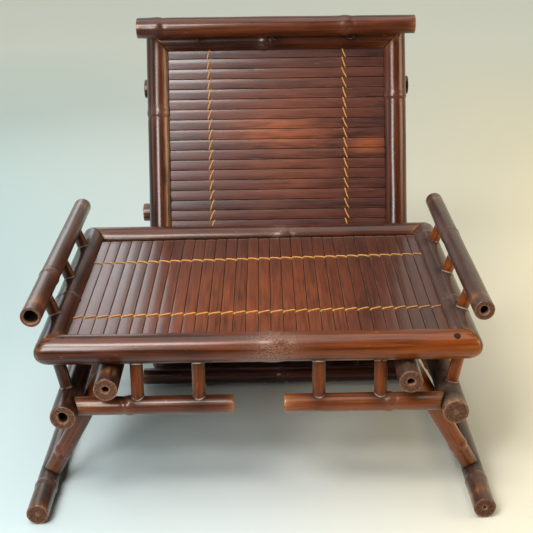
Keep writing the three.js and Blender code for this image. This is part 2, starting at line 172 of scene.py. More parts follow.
# How each side of the seat has aged
sideLooks = {
    "left": {
        "arm": {"hollows": (0.7, 0.6), "joints": (0.3,), "dust": 0.2, "warm": (0.15, 0.05)},
        "armPost": {"warm": (0.35, 0.35)}, "hanger": {"warm": (0, 0)}, "spindle": {"warm": (0.4, 0.3)},
        "stop": {"hollows": (0.42, 0.3), "joints": (0.5,), "dust": 0.12},
        "lower": {"warm": (0.1, 0.25), "dust": 0.1},
    },
    "right": {
        "arm": {"hollows": (0.42, 0.45), "joints": (0.62,), "dust": 0.45},
        "armPost": {"warm": (0.9, 0.9)}, "hanger": {"warm": (1, 0.8)}, "spindle": {"warm": (0.35, 0.45)},
        "stop": {"hollows": (0, 0), "joints": (0.5,), "dust": 1.5},
        "lower": {"warm": (0.8, 0.3), "dust": 0.3},
    },
}
for word, side in (("left", -1), ("right", 1)):
    looks = sideLooks[word]
    start, end = poleEnds(f"{word}_arm", "seat", 1)
    armRadius = poleRadius(f"{word}_arm", "seat", 1)
    addPole(f"{word}_arm", "seat", "seat", start, end, armRadius, **looks["arm"])
    railX, railZ = seat["middle"][0] + side * seat["halfLength"], seat["middle"][2]
    for place in ("front", "middle", "rear"):
        node = f"{word}_arm_{place}_post"
        y = boxMiddle(node, "seat")[1]
        addPost(node, "seat", (railX, y, railZ), (start[0], y, start[2]), railRadius, armRadius, postRadius,
                finish="warm", **looks["armPost"])
    start, end = poleEnds(f"{word}_stop_pole", "seat", 1)
    addPole(f"{word}_stop_pole", "seat", "seat", start, end, stopRadius, **looks["stop"])
    for place, depthSide in (("front", -1), ("rear", 1)):
        node = f"{word}_{place}_hanger"
        y = boxMiddle(node, "seat")[1]
        addPost(node, "seat", (start[0], y, start[2]), (railX, y, railZ), stopRadius, railRadius, postRadius,
                finish="warm", **looks["hanger"])
        node = f"{place}_{word}_lower_rail"
        y, z = boxMiddle(node, "seat")[1:]
        spindleNodes = [f"{place}_{word}_spindle_{i}" for i in (1, 2)]
        addLowerRail(node, "seat", (seat["middle"][0] + side * lowerInner, y, z), (start[0], y, z),
                     [(spindle, boxMiddle(spindle, "seat")[0]) for spindle in spindleNodes],
                     (seat["middle"][1] + depthSide * seat["halfDepth"], railZ),
                     looks["lower"], looks["spindle"])


# A leg frame: its pivot pole, its foot pole and its two legs, measured in the frame of its tray
def addLegFrame(tray, body, look, pivotNode, footNode, *legNodes):
    start, end = poleEnds(pivotNode, tray, 1)
    pivotRadius = poleRadius(pivotNode, tray, 1)
    addPole(pivotNode, tray, body, start, end, pivotRadius, hollows=(0.3, 0.3), joints=(0.42,),
            **look["pivot"])
    footStart, footEnd = poleEnds(footNode, tray, 1)
    low, high = turnedBox(footNode, tray)
    halfWidth = (high - low)[0] / 2     # across its flats, so that the round pole stays inside its box
    footStart[2] = footEnd[2] = low[2] + halfWidth
    footRadius = halfWidth - culmSettings["jointRise"]
    addPole(footNode, tray, body, footStart, footEnd, footRadius, **look["foot"])
    for node in legNodes:
        y = boxMiddle(node, tray)[1]
        low, high = turnedBox(node, tray)
        legRadius = (high - low)[1] / 2 - culmSettings["jointRise"]
        addPole(node, tray, body, (start[0], y, start[2]), (footStart[0], y, footStart[2]), legRadius,
                ends=("saddle", "saddle"), across=(pivotRadius, footRadius), finish="warm", joints=(0.78,),
                **look["leg"])


legLooks = {
    "left": {"pivot": {"dust": 0.15},
             "foot": {"hollows": (0, 0.3), "joints": (0.17, 0.75), "dust": 0.3},
             "leg": {"warm": (0.35, 0.1), "dust": 0.05}},
    "right": {"pivot": {"dust": 0.6},
              "foot": {"hollows": (0.16, 0.3), "joints": (0.17, 0.75), "dust": 0.45},
              "leg": {"warm": (0.8, 0.55), "dust": 0.05}},
    "back": {"pivot": {"dust": 0.3},
             "foot": {"hollows": (0, 0.3), "joints": (0.17, 0.7), "dust": 0.3},
             "leg": {"warm": (0.3, 0.3), "dust": 0.3}},
}
for word in ("left", "right"):
    addLegFrame("seat", f"{word}_legs", legLooks[word], f"{word}_pivot_pole", f"{word}_foot_pole",
                f"{word}_front_leg", f"{word}_rear_leg")
addLegFrame("back", "back_legs", legLooks["back"], "back_pivot_pole", "back_leg_foot_pole",
            "back_left_leg", "back_right_leg")

# The back's crest pole and base pole, each on its posts. The crest pole tapers to the right.
galleries = {
    "crest_pole": {
        "side": -1, "posts": ("crest_left_post", "crest_middle_post", "crest_right_post"),
        "taper": 0.9, "postReach": 0.94,
        "look": {"joints": (0.07, 0.75), "jointWidth": 0.005, "jointWear": 0.2,
                 "warm": (0, 0.3, 0.2, 0.3, 0.2)},
    },
    "back_base_pole": {
        "side": 1, "posts": ("base_left_post", "base_right_post"), "taper": 1, "postReach": 1,
        "look": {"joints": (0.5,)},
    },
}
for node, gallery in galleries.items():
    start, end = poleEnds(node, "back", 1)
    radius = poleRadius(node, "back", 1)
    addPole(node, "back", "back", start, end, radius, endRadius=gallery["taper"] * radius, **gallery["look"])
    for post in gallery["posts"]:
        y = boxMiddle(post, "back")[1]
        rail = (back["middle"][0] + gallery["side"] * back["halfLength"], y, back["middle"][2])
        addPost(post, "back", rail, (start[0], y, start[2]), railRadius, gallery["postReach"] * radius,
                postRadius)

# The back's stop pole and side rails
start, end = poleEnds("back_stop_pole", "back", 1)
addPole("back_stop_pole", "back", "back", start, end, stopRadius, joints=(0.4,), dust=0.2)
for word, side in (("left", -1), ("right", 1)):
    y = back["middle"][1] + side * (back["halfDepth"] - seat["halfDepth"] - lowerAt[1])
    z = back["middle"][2] + lowerAt[2]
    spindles = [(f"back_{word}_side_rail_spindle_{i + 1}", back["middle"][0] - place)
                for i, place in enumerate(spindlePlaces)]
    addLowerRail(f"back_{word}_side_rail", "back", (back["middle"][0] - lowerInner, y, z), (start[0], y, z),
                 spindles, (back["middle"][1] + side * back["halfDepth"], back["middle"][2]),
                 {"warm": (0.3, 0.3)}, {"warm": (0.3, 0.3)})

# The lugs that carry the back: each runs from the rear rail past the hinge, where a peg crosses it
lugSettings = {"radius": 0.0065, "reach": 0.007, "pegRadius": 0.0034, "pegStandsOut": 0.0007}
hinge = next(j for j in frame["joints"] if j["name"] == "back_tilt")["pos_m"]
for word, side in (("left", -1), ("right", 1)):
    low, high = turnedBox(f"{word}_back_lug", "seat")
    outer, inner = (low[0], high[0]) if side < 0 else (high[0], low[0])
    x = outer - side * lugSettings["radius"]
    root = np.array([x, seat["middle"][1] + seat["halfDepth"], seat["middle"][2]])
    pivot = np.array([x, hinge[1], hinge[2]])
    outward = unit(pivot - root)
    addPole(f"{word}_back_lug", "seat", "seat", root + outward * (railRadius - culmSettings["tenon"]),
            pivot + outward * lugSettings["reach"], lugSettings["radius"], ends=("hidden", "cut"), sides=28,
            warm=(0.2, 0.2))
    addPole(f"{word}_back_peg", "seat", "seat", (outer + side * lugSettings["pegStandsOut"], *pivot[1:]),
            (inner, *pivot[1:]), lugSettings["pegRadius"], sides=20, finish="warm", warm=(0.3, 0.3))
print("poles placed:", len(poles))


# Where a pole's end lies along it, for a point at offsets a and b from its axis
def endPlace(kind, a, b, across):
    if kind == "mitre":
        return a + culmSettings["mitreGap"]
    if kind == "saddle":
        return np.sqrt(np.maximum(across ** 2 - b ** 2, 0)) + culmSettings["mitreGap"]
    return np.zeros_like(a)


# Rings of one end, from its middle outwards: place along the pole, radius, end mark and rim
def endRows(pole, which, theta):
    kind = pole["ends"][which]
    radius = pole["radius"] if which == 0 else pole["endRadius"]
    across = pole["across"][which] or 0
    rows = []

    def row(place, r, mask, rough=0, rim=0):
        r = r * np.ones_like(theta)
        place = place + rough * culmRandom.random(len(theta))
        if kind != "cut":
            place = place + endPlace(kind, r * np.cos(theta), r * np.sin(theta), across)
        rows.append((place, r, mask, rim))

    edge = culmSettings["endEdge"] * (0.5 if kind == "cut" else 0.3)
    if kind == "cut":
        hollow = pole["hollows"][which] * radius
        if hollow > 0:
            depth = culmSettings["hollowDepth"]
            phase = culmSettings["phase"]
            waves = sum(culmRandom.normal() * np.cos(k * theta + culmRandom.random() * phase) / k
                        for k in (2, 3, 5))
            mouth = hollow * (1 + 0.09 * waves)
            row(depth, hollow * 0.3, endMarks["hollow"])
            row(depth * 0.9, hollow * 0.75, endMarks["hollow"])
            row(depth * 0.45, mouth * 0.9, endMarks["hollow"])
            row(culmSettings["mouthDepth"], mouth * 0.94, endMarks["mouth"], rim=1)
            row(culmSettings["lipDepth"], mouth, endMarks["lip"], rim=1)
            inner = mouth + culmSettings["lipWidth"]
        else:
            inner = 0.12 * radius * np.ones_like(theta)
        for share, rim in zip((0, 0.14, 0.3, 0.45, 0.6, 0.75, 0.88, 1), (0.7, 0.1, 0, 0, 0, 0, 0.25, 0.9)):
            rough = culmSettings["sawMarks"] if share < 1 else 0
            row(0, inner + (radius - edge - inner) * share, endMarks["sawn"], rough, rim)
    else:
        for share in (0.1, 0.4, 0.7):
            row(0, radius * share, endMarks["sawn"])
        row(0, radius - edge, endMarks["sawn"])
    for turn in (30, 60, 90):
        turn = math.radians(turn)
        row(edge * (1 - math.cos(turn)), radius - edge * (1 - math.sin(turn)), endMarks["skin"])
    return rows


def culmStations(pole, length, zone):
    count = max(int((length - 2 * zone) / culmSettings["step"]), 2)
    places = list(np.linspace(zone, length - zone, count + 1))
    reach = culmSettings["jointReach"] * pole["jointWidth"]
    for share in pole["joints"]:
        joint = share * length
        places = [p for p in places if abs(p - joint) > reach * 1.03]
        places += [joint + d for d in np.linspace(-reach, reach, culmSettings["jointRings"])]
    return np.array(sorted(p for p in places if zone <= p <= length - zone))


# Quads between rings of equal size, one behind the other
def ringFaces(count, sides):
    faces = []
    for low in range(0, (count - 1) * sides, sides):
        for k in range(sides):
            after = (k + 1) % sides
            faces.append((low + k, low + after, low + sides + after, low + sides + k))
    return faces


def fanFaces(tip, base, sides):
    return [(tip, base + k, base + (k + 1) % sides) for k in range(sides)]


# The values of all rings in one list, with those of the points in the middle of both ends behind them
def withTips(rings, tips=(0, 0)):
    return np.concatenate([rings.ravel(), tips])


# A bamboo pole as rings of points, with what its material needs stored on the points
def buildPole(pole):
    length = np.linalg.norm(pole["end"] - pole["start"])
    axis = unit(pole["end"] - pole["start"])
    if pole["inward"] is not None:
        first = unit(pole["inward"])
    elif any(pole["across"]):
        first = np.array([0.0, 1.0, 0.0])     # the poles that are crossed all run along Y
    else:
        first = unit(np.cross(axis, (0, 0, 1) if abs(axis[2]) < 0.9 else (0, 1, 0)))
    second = np.cross(axis, first)
    sides = pole["sides"]
    theta = np.linspace(0, 2 * math.pi, sides, endpoint=False)
    zone = min(culmSettings["zone"], 0.3 * length)

    rows = endRows(pole, 0, theta)
    opening, openingRadius = rows[-1][:2]
    shares = [0.06, 0.15, 0.3, 0.5, 0.75]
    if pole["ends"][0] == "hidden":
        shares = list(np.linspace(0.05, 0.6, 16)) + [0.8]
    rows += [(opening + share * (zone - opening), openingRadius, 0, 0) for share in shares]
    for place in culmStations(pole, length, zone):
        rows.append((place, pole["radius"] + (pole["endRadius"] - pole["radius"]) * place / length, 0, 0))
    closing = [(length - place, *rest) for place, *rest in endRows(pole, 1, theta)]
    last, lastRadius = closing[-1][:2]
    rows += [(last + share * (length - zone - last), lastRadius, 0, 0) for share in shares[::-1]]
    rows += closing[::-1]
    along, radii, mask, rim = (np.array([part * np.ones(sides) for part in column]) for column in zip(*rows))

    skin = mask == endMarks["skin"]
    jointMask = np.zeros_like(along)
    width = pole["jointWidth"]
    for share in pole["joints"]:
        d = (along - share * length) / width
        ridge = np.exp(-d ** 2) - 0.55 * np.exp(-((d - 1.45) / 0.45) ** 2)
        radii = np.where(skin, radii + culmSettings["jointRise"] * ridge, radii)
        jointMask = np.maximum(jointMask, np.exp(-(d / 2.6) ** 2))
    swell = np.zeros_like(along)
    for k in (1, 2, 3):
        phase, turnPhase = culmRandom.random(2) * culmSettings["phase"]
        wave = k * 2.1 * math.pi * along / culmSettings["wobbleLength"]
        swell += 0.5 + 0.5 * np.sin(wave + phase + k * (theta[None, :] + turnPhase))
    radii = np.where(skin, radii - culmSettings["wobble"] * swell / 3, radii)

    a, b = radii * np.cos(theta), radii * np.sin(theta)
    if pole["ends"][0] == "mitre":
        along, a = roundCorner(along, a, b, length, pole["radius"])
    points = pole["start"] + along[..., None] * axis + a[..., None] * first + b[..., None] * second
    tipPoints = [pole["start"] + axis * rows[end][0].mean() for end in (0, -1)]
    points = np.vstack([points.reshape(-1, 3), *tipPoints])
    upward = (np.cos(theta)[:, None] * first + np.sin(theta)[:, None] * second) @ turns[pole["tray"]].T
    upward = withTips(np.repeat(upward[None, :, 2], len(rows), 0))
    tip, base = len(rows) * sides, (len(rows) - 1) * sides
    faces = ringFaces(len(rows), sides) + [face[::-1] for face in fanFaces(tip, 0, sides)]
    faces += fanFaces(tip + 1, base, sides)

    spin = culmRandom.random() * culmSettings["phase"]
    offset = culmRandom.random(3) * 5
    turnedA = a * math.cos(spin) - b * math.sin(spin)
    turnedB = a * math.sin(spin) + b * math.cos(spin)
    grain = np.vstack([np.stack([turnedA, turnedB, along], 2).reshape(-1, 3), (0, 0, 0), (0, 0, length)])
    share = np.clip(along / length, 0, 1)
    warm = np.interp(share, np.linspace(0, 1, len(pole["warm"])), pole["warm"])
    fromEnd = np.minimum(np.abs(along - along[0].min()), np.abs(along[-1].max() - along))
    insideSheen = 0
    if pole["inward"] is not None:
        fromEnd = np.abs(np.minimum(along - a, length - along - a))       # from the mitre's slanted face
        # On the back's left upright a tan stripe along its inner side is a painted reflection, laid in with the
        # edge wear
        insideSheen = pole["insideSheen"] * np.exp(-((theta - 0.85) / 0.3) ** 2)
    edgeWearAndSheen = np.maximum(np.exp(-fromEnd / culmSettings["edgeReach"]), insideSheen)
    world = points @ turns[pole["tray"]].T
    gap = contactGap(pole, world)
    # Dirt and painted shade: the skin is coloured darker, towards nearly black, close to the other poles
    grime = np.exp(-np.maximum(gap, 0) / culmSettings["contactReach"])
    if pole["inward"] is not None:
        # Painted shade along the mitre's crevice, and in a band on the rail's inner face below the slats' top, so
        # that these gaps read dark
        crevice = withTips(np.exp(-fromEnd / culmSettings["creviceReach"]))
        height = points[:, 2] - pole["start"][2]
        facing = (points - pole["start"]) @ first > 0
        depth = culmSettings["seamDepth"]
        seam = facing * np.clip((slatTop[pole["tray"]] + depth - height) / depth, 0, 1)
        grime = np.maximum(np.maximum(grime, crevice), seam)
    glue = np.exp(-((gap - culmSettings["glueAt"]) / culmSettings["glueSpread"]) ** 2)
    values = {
        "ends": withTips(mask, (mask[0, 0], mask[-1, 0])),
        "joint": withTips(pole["jointWear"] * jointMask),
        "warm": withTips(warm, (warm[0, 0], warm[-1, 0])),
        "edge": withTips(edgeWearAndSheen),
        "rim": withTips(rim),
        "dust": pole["dust"] * np.clip(upward * 0.9 + 0.15, 0, 1),
        "grime": grime,
        "glue": glue if "hidden" in pole["ends"] else 0 * glue,
    }
    return world, faces, grain + offset, values


# Rounds the outer corner that two mitred rails share, seen from above
def roundCorner(along, a, b, length, radius):
    width = np.sqrt(np.maximum(radius ** 2 - np.minimum(np.abs(b), radius) ** 2, 0))
    bend = np.minimum(culmSettings["cornerRadius"], width)
    for which in (0, 1):
        beyond = -along if which == 0 else along - length
        p, q = -a - (width - bend), beyond - (width - bend)
        reach = np.hypot(np.maximum(p, 0), np.maximum(q, 0))
        pull = np.where((p > 0) & (q > 0) & (reach > bend), bend / np.maximum(reach, 1e-9), 1)
        a = np.where(pull < 1, -(p * pull + width - bend), a)
        moved = q * pull + width - bend
        along = np.where(pull < 1, -moved if which == 0 else moved + length, along)
    return along, a


# How far each point is from the nearest surface of the other poles. Rails that meet it in a mitre don't count.
def contactGap(pole, points):
    nearest = np.full(len(points), 1.0)
    for other in poles:
        mitred = pole["inward"] is not None and other["inward"] is not None and pole["tray"] == other["tray"]
        if other is pole or mitred:
            continue
        turn = turns[other["tray"]]
        start = turn @ other["start"]
        along = turn @ other["end"] - start
        share = np.clip((points - start) @ along / (along @ along), 0, 1)
        gap = np.linalg.norm(points - start - share[:, None] * along, axis=1) - other["radius"]
        nearest = np.minimum(nearest, gap)
    return nearest


def store(mesh, name, values, kind="FLOAT"):
    data = mesh.attributes.new(name, kind, "POINT").data
    data.foreach_set("value" if kind == "FLOAT" else "vector", np.asarray(values, np.float32).ravel())


def addObject(name, data):
    obj = bpy.data.objects.new(name, data)
    bpy.context.scene.collection.objects.link(obj)
    return obj


# A mesh with its stored values; those that aren't given are nought everywhere
def meshObject(name, points, faces, grain, values, material):
    mesh = bpy.data.meshes.new(name)
    mesh.from_pydata([tuple(p) for p in points], [], faces)
    store(mesh, "grain", grain, "FLOAT_VECTOR")
    for key in ("ends", "joint", "warm", "edge", "rim", "dust", "grime", "glue"):
        store(mesh, key, np.zeros(len(points)) + values.get(key, 0))
    mesh.materials.append(material)
    mesh.set_sharp_from_angle(angle=math.radians(35))
    return addObject(name, mesh)


# A socket takes either a fixed value or what another node gives
def feed(tree, socket, value):
    if isinstance(value, bpy.types.NodeSocket):
        tree.links.new(value, socket)
    elif value is not None:
        socket.default_value = value


def makeNode(tree, kind, settings=None, **values):
    node = tree.nodes.new(kind)
    for key, value in (settings or {}).items():
        setattr(node, key, value)
    for key, value in values.items():
        feed(tree, node.inputs[key.replace("_", " ")], value)
    return node


# A node whose unnamed inputs are fed in their order; gives its first output
def madeFrom(tree, kind, settings, *values):
    node = makeNode(tree, kind, settings)
    for socket, value in zip(node.inputs, values):
        feed(tree, socket, value)
    return node.outputs[0]


def mathNode(tree, operation, a, b=None, clamp=False):
    return madeFrom(tree, "ShaderNodeMath", {"operation": operation, "use_clamp": clamp}, a, b)


def times(tree, a, b):
    return mathNode(tree, "MULTIPLY", a, b)


def plus(tree, a, b, clamp=False):
    return mathNode(tree, "ADD", a, b, clamp)


def joinedXYZ(tree, x=None, y=None, z=None):
    return madeFrom(tree, "ShaderNodeCombineXYZ", {}, x, y, z)


# A blend of two colours; mixValue blends two values
def mixColour(tree, share, a, b):
    node = makeNode(tree, "ShaderNodeMix", {"data_type": "RGBA"})
    for place, value in ((0, share), (6, a), (7, b)):
        feed(tree, node.inputs[place], value)
    return node.outputs[2]


def mixValue(tree, share, a, b):
    return madeFrom(tree, "ShaderNodeMix", {"data_type": "FLOAT"}, share, None, a, b)


def attribute(tree, name, output="Fac"):
    return makeNode(tree, "ShaderNodeAttribute", {"attribute_name": name}).outputs[output]


def stretched(tree, vector, scale):
    return madeFrom(tree, "ShaderNodeVectorMath", {"operation": "MULTIPLY"}, vector, scale)


def scaled(tree, vector, factor):
    node = makeNode(tree, "ShaderNodeVectorMath", {"operation": "SCALE"}, Scale=factor)
    feed(tree, node.inputs[0], vector)
    return node.outputs[0]


def noise(tree, vector, scale, detail, roughness):
    node = makeNode(tree, "ShaderNodeTexNoise", {}, Vector=vector, Scale=scale, Detail=detail,
                    Roughness=roughness)
    return node.outputs["Fac"]


def ramp(tree, value, low, high, toLow=0.0, toHigh=1.0):
    return madeFrom(tree, "ShaderNodeMapRange", {"clamp": True}, value, low, high, toLow, toHigh)


def addBump(tree, shader, height, distance, strength=1.0):
    bump = makeNode(tree, "ShaderNodeBump", {}, Strength=strength, Distance=distance, Height=height)
    tree.links.new(bump.outputs["Normal"], shader.inputs["Normal"])


# Sockets are given as a dictionary: what kind each one is follows from its first value
def addSockets(tree, inputs):
    kinds = {int: "Int", float: "Float", type(None): "Material", 3: "Vector", 4: "Color"}
    for label, value in inputs.items():
        kind = kinds[len(value) if isinstance(value, tuple) else type(value)]
        socket = tree.interface.new_socket(label, in_out="INPUT", socket_type=f"NodeSocket{kind}")
        if value is not None:
            socket.default_value = value
    return tree.nodes.new("NodeGroupInput").outputs


# Node groups that more than one material uses
def startGroup(name, inputs, outputs):
    group = bpy.data.node_groups.new(name, "ShaderNodeTree")
    for label in outputs:
        kind = "NodeSocketColor" if label == "Color" else "NodeSocketFloat"
        group.interface.new_socket(label, in_out="OUTPUT", socket_type=kind)
    return group, addSockets(group, inputs), group.nodes.new("NodeGroupOutput").inputs


# Fibres that run along the grain, and the cloudier tones of the stain under the lacquer
def makeFibreGroup():
    group, given, out = startGroup("bambooFibres", {"Grain": (0, 0, 0), "Fibre Scale": 1.0},
                                   ("Streaks", "Clouds", "Height"))
    sized = scaled(group, given["Grain"], given["Fibre Scale"])
    fine = noise(group, stretched(group, sized, (1, 1, 0.016)), 1500, 2, 0.6)
    broad = noise(group, stretched(group, sized, (1, 1, 0.03)), 330, 3, 0.6)
    clouds = noise(group, stretched(group, sized, (1, 1, 0.3)), 60, 3, 0.6)
    mixed = plus(group, times(group, fine, 0.4), times(group, broad, 0.6))
    feed(group, out["Streaks"], ramp(group, mixed, 0.4, 0.6))
    feed(group, out["Clouds"], ramp(group, clouds, 0.32, 0.68))
    feed(group, out["Height"], mixed)
    return group


# Dirt and painted shade in corners and where parts meet, dust on top and lighter worn edges, laid over a colour
def makeAgeGroup():
    group, given, out = startGroup("ageing", {
        "Color": (0.1, 0.03, 0.02, 1), "Roughness": 0.3, "Grain": (0, 0, 0), "Grime": 0.0, "Dust": 0.0,
        "Edge": 0.0, "Joint": 0.0, "Glue": 0.0, "Dust Color": (0.2, 0.15, 0.12, 1),
        "Worn Color": (0.4, 0.2, 0.1, 1)}, ("Color", "Roughness", "Gloss", "Height"))
    grain = given["Grain"]
    patches = noise(group, grain, 170, 4, 0.65)
    speckle = noise(group, grain, 1100, 3, 0.7)
    streaks = noise(group, stretched(group, grain, (1, 1, 0.12)), 260, 3, 0.6)
    long = noise(group, stretched(group, grain, (1, 1, 0.22)), 620, 2, 0.5)
    dust = times(group, given["Dust"], ramp(group, patches, 0.3, 0.65, 0.35, 1.0))
    # Edge is real wear near the ends, and on the back's left upright also a painted reflection along its inner
    # side
    worn = times(group, given["Edge"], ramp(group, streaks, 0.38, 0.6))
    rubbed = times(group, given["Joint"], ramp(group, speckle, 0.45, 0.58))
    nicks = times(group, ramp(group, long, 0.7, 0.74), ramp(group, patches, 0.5, 0.62))
    # Painted shade mixed with dirt: nearly black where parts meet, in crevices and along seams
    dirt_and_shade = times(group, given["Grime"], ramp(group, patches, 0.25, 0.6, 0.6, 1.0))
    glue = times(group, given["Glue"], ramp(group, patches, 0.4, 0.55))
    color = given["Color"]
    for mask, share, tone in (
            (dust, 0.75, given["Dust Color"]), (worn, 0.6, given["Worn Color"]),
            (rubbed, 0.55, (0.3, 0.2, 0.155, 1)), (nicks, 0.55, given["Worn Color"]),
            (dirt_and_shade, 0.95, (0.006, 0.003, 0.0026, 1)), (glue, 0.8, (0.55, 0.42, 0.33, 1))):
        color = mixColour(group, times(group, mask, share), color, tone)
    rough = plus(group, given["Roughness"], times(group, dust, 0.3))
    dull = mathNode(group, "MAXIMUM", dirt_and_shade, times(group, dust, 0.6))
    feed(group, out["Color"], color)
    feed(group, out["Roughness"], plus(group, rough, times(group, rubbed, 0.18), clamp=True))
    feed(group, out["Gloss"], mathNode(group, "SUBTRACT", 1, dull, clamp=True))
    feed(group, out["Height"], plus(group, times(group, speckle, plus(group, given["Joint"], 0.06)), patches))
    return group


# The sawn end of a culm: pores that get denser outwards, rings of fibre and saw marks
def makeCutGroup():
    group, given, out = startGroup("cutEnd", {
        "Grain": (0, 0, 0), "Rim": 0.0, "Light": (0.3, 0.16, 0.09, 1), "Dark": (0.07, 0.035, 0.022, 1)},
        ("Color", "Height"))
    flat = stretched(group, given["Grain"], (1, 1, 0))
    pores = makeNode(group, "ShaderNodeTexVoronoi", {"feature": "F1"}, Vector=flat, Scale=1500.0)
    poreMask = ramp(group, pores.outputs["Distance"], 0.15, 0.5)
    mottle = noise(group, flat, 500, 4, 0.7)
    saw = noise(group, stretched(group, flat, (1, 0.08, 0)), 900, 2, 0.5)
    share = times(group, ramp(group, mottle, 0.35, 0.7), times(group, poreMask, 0.55))
    outerRing = times(group, given["Rim"], ramp(group, mottle, 0.3, 0.6, 0.35, 0.9))
    share = plus(group, share, outerRing, clamp=True)
    feed(group, out["Color"], mixColour(group, share, given["Dark"], given["Light"]))
    feed(group, out["Height"], plus(group, times(group, poreMask, 0.5), saw))
    return group


fibreGroup, ageGroup, cutGroup = makeFibreGroup(), makeAgeGroup(), makeCutGroup()


def newMaterial(name):
    material = bpy.data.materials.new(name)
    material.use_nodes = True
    return material, material.node_tree, material.node_tree.nodes["Principled BSDF"]


lacquers = {
    "dark": {"deep": (0.006, 0.002, 0.002, 1), "mid": (0.066, 0.0145, 0.0085, 1),
             "warm": (0.27, 0.056, 0.0025, 1), "dustColor": (0.17, 0.118, 0.088, 1),
             "cutLight": (0.27, 0.13, 0.075, 1), "cutDark": (0.04, 0.019, 0.014, 1),
             "rough": 0.3, "fibre": 1.0, "bump": 0.0001, "coat": 0.8},
    "warm": {"deep": (0.012, 0.0028, 0.002, 1), "mid": (0.075, 0.016, 0.006, 1),
             "warm": (0.31, 0.062, 0.003, 1), "dustColor": (0.17, 0.115, 0.08, 1),
             "cutLight": (0.66, 0.38, 0.18, 1), "cutDark": (0.26, 0.12, 0.05, 1),
             "rough": 0.28, "fibre": 1.2, "bump": 0.0001, "coat": 0.8},
}


def makeLacquer(name, look):
    material, tree, shader = newMaterial(name)
    shader.inputs["Specular IOR Level"].default_value = 0.2
    shader.inputs["Specular Tint"].default_value = (1, 0.55, 0.3, 1)
    shader.inputs["Coat Roughness"].default_value = 0.23
    grain = attribute(tree, "grain", "Vector")
    fibres = makeNode(tree, "ShaderNodeGroup", {"node_tree": fibreGroup}, Grain=grain,
                      Fibre_Scale=look["fibre"]).outputs
    share = plus(tree, times(tree, fibres["Streaks"], 0.7), times(tree, fibres["Clouds"], 0.3))
    color = mixColour(tree, ramp(tree, share, 0.15, 0.85), look["deep"], look["mid"])
    warmth = times(tree, attribute(tree, "warm"), ramp(tree, share, 0.15, 0.85, 0.42, 1.0))
    color = mixColour(tree, warmth, color, look["warm"])
    rough = ramp(tree, fibres["Clouds"], 0, 1, look["rough"] - 0.04, look["rough"] + 0.1)
    stored = {key.title(): attribute(tree, key) for key in ("grime", "dust", "edge", "joint", "glue")}
    age = makeNode(tree, "ShaderNodeGroup", {"node_tree": ageGroup}, Color=color, Roughness=rough, Grain=grain,
                   Dust_Color=look["dustColor"], Worn_Color=(0.45, 0.2, 0.07, 1), **stored)
    cut = makeNode(tree, "ShaderNodeGroup", {"node_tree": cutGroup}, Grain=grain, Rim=attribute(tree, "rim"),
                   Light=look["cutLight"], Dark=look["cutDark"])
    ends = attribute(tree, "ends")
    onCut = ramp(tree, ends, 0.4, 0.6)
    hollowShade = ramp(tree, ends, 1.45, 1.9)
    color = mixColour(tree, onCut, age.outputs["Color"], cut.outputs["Color"])
    # Painted shade: the hollow inside a cut end is coloured nearly black
    feed(tree, shader.inputs["Base Color"], mixColour(tree, hollowShade, color, (0.01, 0.006, 0.005, 1)))
    feed(tree, shader.inputs["Roughness"], mixValue(tree, onCut, age.outputs["Roughness"], 0.8))
    gloss = times(tree, age.outputs["Gloss"], ramp(tree, onCut, 0, 1, look["coat"], 0))
    feed(tree, shader.inputs["Coat Weight"], gloss)
    height = plus(tree, fibres["Height"], times(tree, age.outputs["Height"], 0.9))
    height = mixValue(tree, onCut, height, times(tree, cut.outputs["Height"], 3))
    addBump(tree, shader, height, look["bump"])
    return material


lacquerMaterials = {name: makeLacquer(f"{name}Lacquer", look) for name, look in lacquers.items()}
faceCount = 0
for pole in poles:
    points, faces, grain, values = buildPole(pole)
    obj = meshObject(f"{pole['node']}_skin", points, faces, grain, values, lacquerMaterials[pole["finish"]])
    faceCount += len(faces)
    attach(obj, pole["body"])
    if pole["node"] in frame["nodes"]:
        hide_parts(pole["node"])


# Pegs through the mitres, seen as small dark discs that follow the rail's round
pegSettings = {
    "front_right_peg": {"tray": "seat", "along": 1, "from": 0.0095, "side": -1, "angle": 57, "radius": 0.0029},
    "front_left_peg": {"tray": "seat", "along": -1, "from": 0.012, "side": -1, "angle": 80, "radius": 0.0014},
    "back_right_nail": {"tray": "back", "along": -1, "from": -0.001, "side": 1, "angle": 70, "radius": 0.0012},
}
# A peg's rings from its foot in the rail up to its domed top: share of its radius, and height over the rail
pegRings = ((0.95, -0.002), (1.0, -0.0002), (0.93, 0.00004), (0.75, 0.00012), (0.4, 0.00016))
pegSides, pegTop = 20, 0.00015


def addPeg(name, look):
    tray, radius = trays[look["tray"]], look["radius"]
    angle = math.radians(look["angle"])
    outward = np.array([0, look["side"] * math.cos(angle), math.sin(angle)])
    along = np.array([look["along"], 0, 0], float)
    around = np.cross(outward, along)
    axis = tray["middle"] + np.array([0, look["side"] * tray["halfDepth"], 0])
    centre = axis + along * (tray["halfLength"] - look["from"]) + outward * railRadius
    theta = np.linspace(0, 2 * math.pi, pegSides, endpoint=False)
    points = []
    for share, height in pegRings:
        p, q = share * radius * np.cos(theta), share * radius * np.sin(theta)
        drop = height - q ** 2 / (2 * railRadius)
        points += list(centre + p[:, None] * along + q[:, None] * around + drop[:, None] * outward)
    faces = ringFaces(len(pegRings), pegSides) + [tuple(range(pegSides - 1, -1, -1))]
    faces += fanFaces(len(points), len(points) - pegSides, pegSides)
    points = np.array([*points, centre + outward * pegTop]) @ turns[look["tray"]].T
    # The peg's own dark colour, set through the grime and shade value
    peg = meshObject(name, points, faces, points, {"grime": 0.9}, lacquerMaterials["dark"])
    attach(peg, look["tray"])


for name, look in pegSettings.items():
    addPeg(name, look)
print("poles built:", len(poles), "with", faceCount, "faces")


